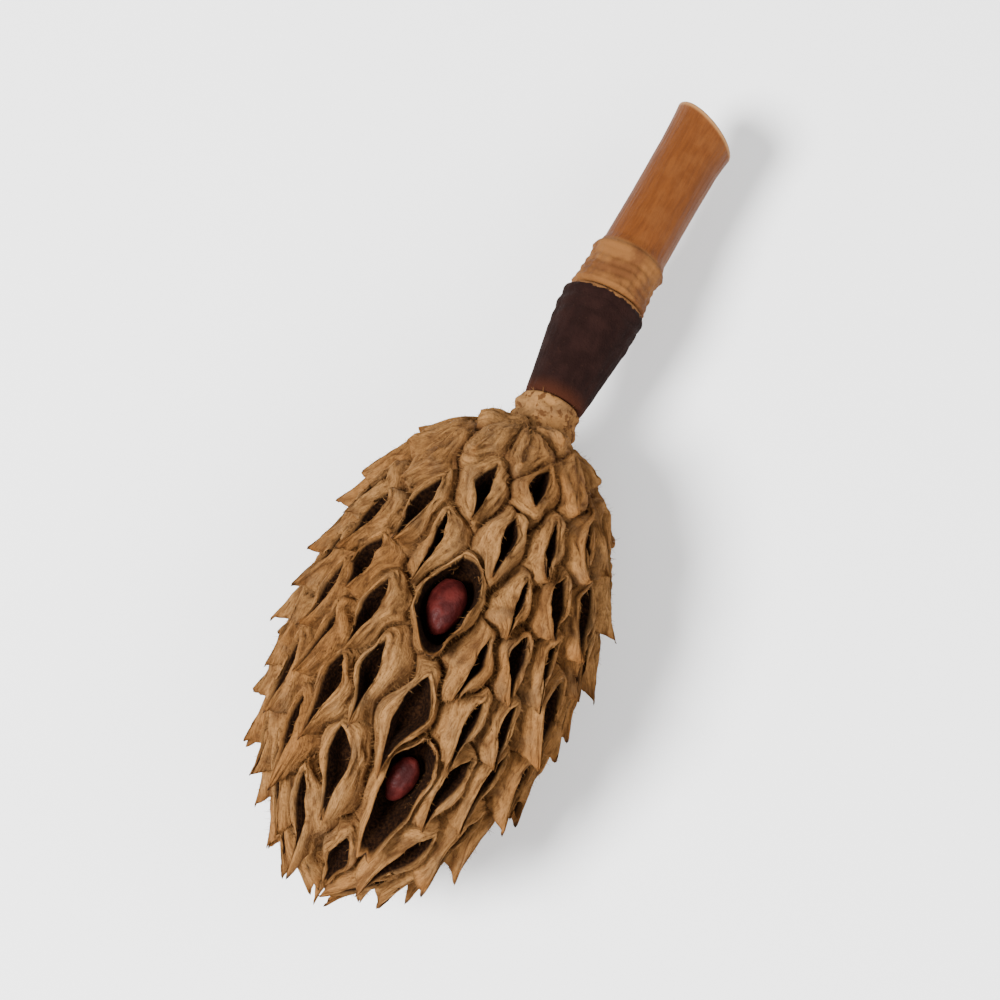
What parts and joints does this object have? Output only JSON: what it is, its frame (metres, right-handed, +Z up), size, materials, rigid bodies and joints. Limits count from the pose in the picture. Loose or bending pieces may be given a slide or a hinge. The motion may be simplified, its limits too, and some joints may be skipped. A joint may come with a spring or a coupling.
{
  "type": "magnolia seed pod",
  "caption": "Dried magnolia seed pod on a short cut twig: an egg-shaped, felted head of split, beaked follicles with dark red seeds showing in some of them.",
  "frame": {"origin": "on the surface that the pod rests on, under the middle of its bounding box", "axes": "+Z up; +X along the pod, from the twig's cut end to the tip of the head"},
  "size_m": [0.118, 0.0408, 0.0429],
  "materials": {
    "seed_head": "dry, felted, matt",
    "stalk": "velvety, matt",
    "twig": "smooth bark, satin",
    "seed_1": "dried skin, semi-gloss",
    "seed_2": "dried skin, semi-gloss",
    "seed_3": "dried skin, semi-gloss",
    "seed_4": "dried skin, semi-gloss"
  },
  "bodies": {
    "root": {"seed_head": "seed_head", "stalk": "stalk", "twig": "twig", "seed_1": "seed_1", "seed_2": "seed_2", "seed_3": "seed_3", "seed_4": "seed_4"}
  },
  "joints": []
}
